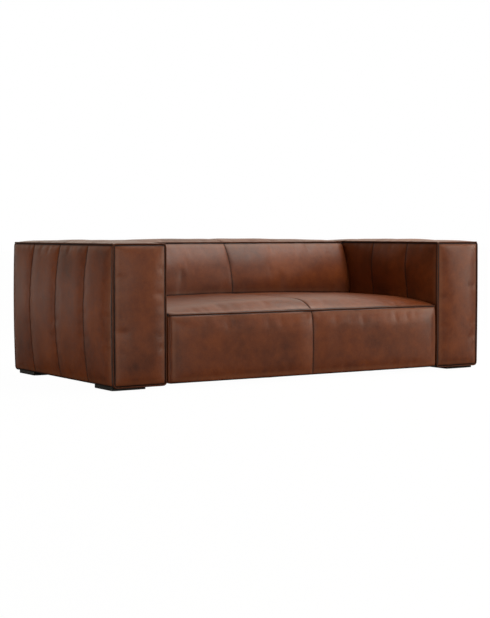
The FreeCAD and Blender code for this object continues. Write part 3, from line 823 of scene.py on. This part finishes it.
def armOutline(a, s, t):
    look = armShape
    bow = (look["bowFront"] * (1 - s) + look["bowRear"] * s) * 4 * t * (1 - t)
    outside = outerX + bow
    low = np.clip((t - look["innerFoot"]) / (1 - look["innerFoot"]), 0, 1)
    bulge = look["innerBulge"] * np.sin(math.pi * low) * np.sin(math.pi * np.clip(s / look["innerEnd"], 0, 1))
    inside = innerX - bulge
    x = inside + (outside - inside) * a
    y = frontY + depth * s
    z = bottomZ + height * t
    return np.stack([x, y, z], axis=-1)


def armRules():
    look = armShape
    deep = look["seamDepth"]
    wide = look["seamDip"]
    strips = [(0, share, deep, wide) for share in look["seams"]]
    inner = [(0, share, deep * look["faint"], wide * look["innerDip"]) for share in look["seams"]]
    over = [(1, share, deep * look["faint"], wide * look["topDip"]) for share in look["seams"]]
    lip = look["lip"]
    return {
        "left": {"lip": look["lipInner"], "crown": look["crownInner"], "seams": inner},
        "right": {"lip": lip, "crown": look["crownSide"], "powers": (0.45, 0.8), "seams": strips},
        "front": {"lip": lip, "crown": look["crownFront"], "powers": (0.7, 0.45), "pucker": 0.15},
        "rear": {"lip": lip, "crown": look["crownRear"]},
        "bottom": {"lip": 0.0, "crown": 0.0},
        "top": {"lip": lip, "crown": look["crownTop"], "seams": over},
    }


def makeArm(side, seed):
    # Both arms are the right one, and the left one is its mirror image
    look = armShape
    size = (outerX - innerX, depth, height)
    skin = Skin(f"{side}ArmLeather", size, armOutline, armRules(), ((), look["seams"], ()))
    settleLeather(skin, ("bottom",), seed)
    piece = skin.build(seed, side == "left")
    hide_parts(f"{side}_arm_cover", f"{side}_arm_foam")
    loops = []
    for end in ("front", "rear"):
        pieces = [
            skin.edge("left", end),
            skin.edge(end, "top"),
            skin.edge("right", end, backwards=True),
            skin.edge(end, "bottom", backwards=True),
        ]
        loops.append(weltAlong(pieces, True, seed + look["weltSeeds"][end]))
    for other in ("left", "right"):
        line, ways = skin.edge(other, "top")
        loops.append(weltAlong([(line[1:-1], ways[1:-1])], False, seed + look["weltSeeds"]["top"]))
    welts = weltPiece(f"{side}ArmWelts", loops)
    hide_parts(f"{side}_arm_piping")
    rows = []
    for share in look["seams"]:
        for way in (-1, 1):
            for name, direction in (("left", 0), ("right", 0), ("top", 1)):
                rows.append(stitchesBeside(skin, name, direction, share, way,
                                           look["stitchEnds"], look["stitchSamples"]))
    addMesh(f"{side}ArmStitches", *gather(rows), "leather", material=materials["thread"])
    print(side, "arm made")


seatShape = {
    "edgeBack": 0.0275,
    "edgeHeight": 0.323,
    "frontProud": 0.015,
    "endsProud": 0.5,        # how much of that is left at the ends
    "endsBack": 0.012,
    "endsPower": 10,
    "frontCurve": 0.028,
    "crownRise": 0.0480,
    "crownCurve": 0.052,
    "sideRise": 0.032,
    "sideCurve": 0.14,
    "sideInset": 0.006,
    "frontInset": 0.010,
    "insetFade": 8,
    "corner": 0.006,
    "rearY": seatHigh.y,
    "stitches": {"front": (0.03, 0.97), "top": (0.012, 0.86)},
}
seatWidth = seatHigh.x - seatShape["sideInset"]
seatEdgeY = seatLow.y + seatShape["edgeBack"]


def seatTop(x, y):
    # The height of the seat's sewn top
    look = seatShape
    back = np.maximum(y - seatEdgeY, 0)
    middle = look["crownRise"] * (1 - np.exp(-back / look["crownCurve"]))
    ends = look["sideRise"] * (1 - np.exp(-back / look["sideCurve"]))
    share = (x / seatWidth) ** 2
    return look["edgeHeight"] + middle * (1 - share) + ends * share


def cornered(inX, inY, radius):
    # Moves a point of a square-cornered plan onto the same plan with a round corner.
    # inX and inY are the distances in from the corner's two sides.
    inside = np.minimum(np.minimum(inX, inY), radius)
    left = np.maximum(radius - inside, 1e-6)
    restX = inX - inside
    restY = inY - inside
    turn = math.pi / 4 * (1 + (restX - restY) / left)
    arcX = inside + left * (1 - np.cos(turn))
    arcY = inside + left * (1 - np.sin(turn))
    near = (restX < left) & (restY < left)
    return np.where(near, arcX - inX, 0), np.where(near, arcY - inY, 0)


def seatOutline(a, s, t):
    look = seatShape
    x = seatWidth * (2 * a - 1)
    drop = (1 - t) * (look["edgeHeight"] - seatLow.z)
    ends = np.abs(x / seatWidth) ** look["endsPower"]
    proud = look["frontProud"] * (1 - np.exp(-drop / look["frontCurve"]))
    frontLine = seatEdgeY - proud * (1 - look["endsProud"] * ends) + look["endsBack"] * ends
    y = frontLine * (1 - s) + look["rearY"] * s
    yTop = seatEdgeY * (1 - s) + look["rearY"] * s
    z = seatLow.z + t * (seatTop(x, yTop) - seatLow.z)
    shiftX, shiftY = cornered(seatWidth - np.abs(x), y - frontLine, look["corner"])
    shiftX = shiftX + look["frontInset"] * np.exp(-look["insetFade"] * s) * np.abs(x / seatWidth)
    return np.stack([x - np.sign(x) * shiftX, y + shiftY, z], axis=-1)


# Each shade entry is painted shade along that edge
seatEnd = {"lip": 0.005, "crown": 0.001, "edges": (0.014, 0.02, 0.014, 0.016), "shade": (0, 0, 0, 0.008)}
seatRules = {
    "left": seatEnd,
    "right": seatEnd,
    "front": {"lip": 0.006, "crown": 0.005, "edges": (0.014, 0.014, 0.014, 0.016), "powers": (0.5, 0.6),
              "shade": (0, 0, 0.008, 0.010), "pucker": 0.2,
              "seams": [(0, 0.5, 0.004, 0.005)]},
    "rear": {"lip": 0.0, "crown": 0.0},
    "bottom": {"lip": 0.0, "crown": 0.0},
    "top": {"lip": 0.005, "crown": 0.004, "edges": (0.022, 0.022, 0.016, 0.3), "powers": (0.5, 0.6),
            "seams": [(0, 0.5, 0.0035, 0.0015)]},
}


def makeSeat(seed):
    size = (2 * seatWidth, seatHigh.y - seatEdgeY, seatShape["edgeHeight"] - seatLow.z)
    skin = Skin("seatLeather", size, seatOutline, seatRules, ((0.5,), (), ()))
    settleLeather(skin, ("bottom", "rear", "left", "right"), seed)
    piece = skin.build(seed)
    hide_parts("seat_cover", "seat_topper_foam", "seat_front_foam", "seat_core_foam")
    piping = weltPiece("seatWelt", [weltAlong([skin.edge("front", "top")], False, seed)])
    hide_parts("seat_piping")
    rows = [stitchesBeside(skin, name, 0, 0.5, way, ends)
            for way in (-1, 1) for name, ends in seatShape["stitches"].items()]
    addMesh("seatStitches", *gather(rows), "leather", material=materials["thread"])
    print("seat made")


backShape = {
    "overhang": 0.087,
    "curve": 2.15,
    "endBack": 0.071,
    "endCurve": 0.060,
    "endLip": 0.031,
    "endDrop": 0.004,
    "endRound": 0.999,       # just under 1, so that the bend never turns square
    "sideInset": 0.008,
    "seatGap": 0.003,
    "lipDrop": 0.003,
    "footBack": 0.002,
    "footShare": 0.3,        # how much of the underside rests on the seat
    "rearShare": 0.6,        # and where the part behind the seat starts
    "rearSeams": (1 / 6, 2 / 6, 3 / 6, 4 / 6, 5 / 6),
    "stitchEnds": (0.02, 0.98),
}
backWidth = backHigh.x - backShape["sideInset"]
backTopY = backLow.y + backShape["overhang"]
backFootY = seatHigh.y + backShape["footBack"]


def backOutline(a, s, t):
    look = backShape
    x = backWidth * (2 * a - 1)
    end = np.clip((np.abs(x) - (backWidth - look["endCurve"])) / look["endCurve"], 0, 1)
    bent = 1 - np.sqrt(1 - end**2 * look["endRound"])
    noseY = backLow.y + look["endBack"] * bent
    lipY = backTopY + look["endLip"] * bent
    noseZ = seatTop(x, noseY) + look["seatGap"]
    topY = lipY + (rearY - lipY) * s
    topHeight = topZ - look["lipDrop"] * (1 - s) - look["endDrop"] * bent * (1 - s)
    foot = look["footShare"]
    rear = look["rearShare"]
    underY = noseY + (backFootY - noseY) * s / foot
    behindY = backFootY + (rearY - backFootY) * (s - rear) / (1 - rear)
    floorY = np.where(s < foot, underY, np.where(s < rear, backFootY, behindY))
    wallZ = noseZ + (bottomZ - noseZ) * (s - foot) / (rear - foot)
    floorZ = np.where(s < foot, noseZ, np.where(s < rear, wallZ, bottomZ))
    sag = (lipY - noseY) * (t ** look["curve"] - t)
    y = floorY + (topY - floorY) * t + sag * (1 - s) ** 2
    z = floorZ + (topHeight - floorZ) * t
    return np.stack([x, y, z], axis=-1)


# The shade entries and the front's dusk are painted shade: along the edges, low down where the back meets the
# seat, and towards the ends beside the arms
backEnd = {"lip": 0.0045, "crown": 0.001, "edges": (0, 0.022, 0.012, 0.018), "shade": (0, 0.012, 0.02, 0.012)}
backRules = {
    "left": backEnd,
    "right": backEnd,
    "front": {"lip": 0.0045, "crown": 0.002, "edges": (0, 0, 0.012, 0.018), "powers": (0.6, 0.6),
              "shade": (0, 0, 0.020, 0.012), "dusk": (0.36, 0.13, 0.12),
              "seams": [(0, 0.5, 0.0022, 0.002)]},
    "rear": {"lip": 0.005, "crown": 0.018,
             "seams": [(0, share, 0.0028, 0.003) for share in backShape["rearSeams"]]},
    "bottom": {"lip": 0.0, "crown": 0.0},
    "top": {"lip": 0.005, "crown": 0.012, "edges": (0.02, 0.02, 0.022, 0.022),
            "seams": [(0, 0.5, 0.0024, 0.0015)]},
}


def makeBack(seed):
    look = backShape
    size = (2 * backWidth, rearY - backTopY, topZ - seatTop(0, backLow.y))
    marks = (look["rearSeams"], (look["footShare"], look["rearShare"]), ())
    skin = Skin("backLeather", size, backOutline, backRules, marks)
    settleLeather(skin, ("bottom", "left", "right"), seed)
    piece = skin.build(seed)
    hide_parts("back_cover", "back_bolster_foam", "back_top_foam", "back_rear_foam")
    welts = [weltAlong([skin.edge(side, "top")], False, seed) for side in ("front", "rear")]
    piping = weltPiece("backWelts", welts)
    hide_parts("back_piping")
    seams = [("front", 0.5), ("top", 0.5)] + [("rear", share) for share in look["rearSeams"]]
    rows = [stitchesBeside(skin, name, 0, share, way, look["stitchEnds"])
            for way in (-1, 1) for name, share in seams]
    addMesh("backStitches", *gather(rows), "leather", material=materials["thread"])
    print("back made")


def dressFrame():
    # Every CAD piece that still shows gets its slot's material
    slots = {entry["node"]: entry["material_slot"] for entry in frame["record"]["subparts"]}
    for node, obj in frame["nodes"].items():
        obj.data.materials.clear()
        obj.data.materials.append(materials[slots[node]])


studio = {
    "low": 0.02,             # world light from low in front
    "high": 0.16,            # from overhead
    "behind": 0.98,          # and from behind
    "overhead": (0.0, 0.9),
    "behindWay": (0.54, 0.84),
    "behindSpan": (0.35, 0.93),
    "horizon": (-0.05, 0.15),
    "warm": (1.0, 0.94, 0.82),
    "white": (1.0, 1.0, 0.93),
    "floorWhite": 0.93,      # how much of the floor's look is its own even glow
    "floorGlow": 1.06,
    "floorColour": (0.26, 0.25, 0.245),
    "floorReach": 40.0,
}
# Each lamp's power, size, place, the point that it faces, and its colour
lamps = {
    "key": (92.0, (3.0, 2.4), (1.5, -0.8, 3.4), (0.1, 0, 0.4), studio["white"]),
    "above": (22.0, (4.0, 2.0), (0, -4.0, 3.5), (0, 0, 0.3), studio["white"]),
    "side": (80.0, (1.2, 2.4), (4.6, -3.4, 1.5), (0, -0.2, 0.4), studio["warm"]),
    "left": (42.0, (2.6, 0.9), (-4.4, -0.8, 0.6), (-1, 0, 0.35), studio["warm"]),
    "rear": (4.0, (2.8, 0.6), (-3.1, 3.7, 0.35), (-1, 0, 0.35), studio["white"]),
    "front": (48.0, (4.0, 1.0), (-0.6, -5.4, 0.8), (0, -0.4, 0.3), studio["warm"]),
}


def areaLight(name, power, size, place, aim, colour):
    data = bpy.data.lights.new(name, "AREA")
    data.energy = power
    data.shape = "RECTANGLE"
    data.size, data.size_y = size
    data.color = colour
    lamp = bpy.data.objects.new(name, data)
    lamp.location = place
    lamp.rotation_euler = (Vector(aim) - Vector(place)).to_track_quat("-Z", "Y").to_euler()
    bpy.context.collection.objects.link(lamp)


def setWorld():
    # White to the eye; as a light, brightest overhead and behind, and dim low in front
    look = studio
    world = bpy.data.worlds.new("studio")
    world.use_nodes = True
    nodes = Nodes(world.node_tree)
    way = nodes.node("TexCoord", output="Generated")
    across, back, up = (nodes.node("SeparateXYZ", inputs={0: way}, output=axis) for axis in "XYZ")
    above = up.between(*look["overhead"])
    wayX, wayY = look["behindWay"]
    behind = (across * wayX + back * wayY).between(*look["behindSpan"]) * up.between(*look["horizon"])
    light = look["low"] + above * (look["high"] - look["low"]) + behind * look["behind"]
    seen = nodes.node("LightPath", output="Is Camera Ray")
    background = nodes.tree.nodes["Background"]
    nodes.plug(background.inputs["Color"], nodes.blend(seen, look["warm"], (1, 1, 1)))
    nodes.plug(background.inputs["Strength"], seen + (1 - seen) * light)
    bpy.context.scene.world = world


def setFloor():
    # Pale, with only a faint shadow, as on a bright sweep, and greyer as a reflector
    paint = Paint("floor", {"Roughness": 0.9, "Specular IOR Level": 0.1})
    speck = paint.clouds(paint.place(), 3.0)
    colour = studio["floorColour"]
    paint.feed({"Base Color": paint.ramp(speck, [(0.3, tuple(c * 0.97 for c in colour)), (0.7, colour)])})
    glow = paint.node("Emission", inputs={"Color": (1, 1, 1), "Strength": studio["floorGlow"]})
    seen = paint.node("LightPath", output="Is Camera Ray")
    own = Value(paint, paint.shader.outputs[0])
    mixed = paint.node("MixShader", inputs={0: seen * studio["floorWhite"], 1: own, 2: glow})
    paint.plug(paint.tree.nodes["Material Output"].inputs["Surface"], mixed)
    mesh = bpy.data.meshes.new("floor")
    reach = studio["floorReach"]
    corners = [(-reach, -reach, 0), (reach, -reach, 0), (reach, reach, 0), (-reach, reach, 0)]
    mesh.from_pydata(corners, [], [(0, 1, 2, 3)])
    mesh.materials.append(paint.material)
    floor = bpy.data.objects.new("floor", mesh)
    bpy.context.collection.objects.link(floor)


def setStudio():
    bpy.context.scene.view_settings.view_transform = "Standard"
    setWorld()
    for name, values in lamps.items():
        areaLight(name, *values)
    setFloor()


setCamera()
dressFrame()
makeArm("right", seed=1.7)
makeArm("left", seed=12.4)
makeSeat(seed=23.1)
makeBack(seed=31.8)
setStudio()
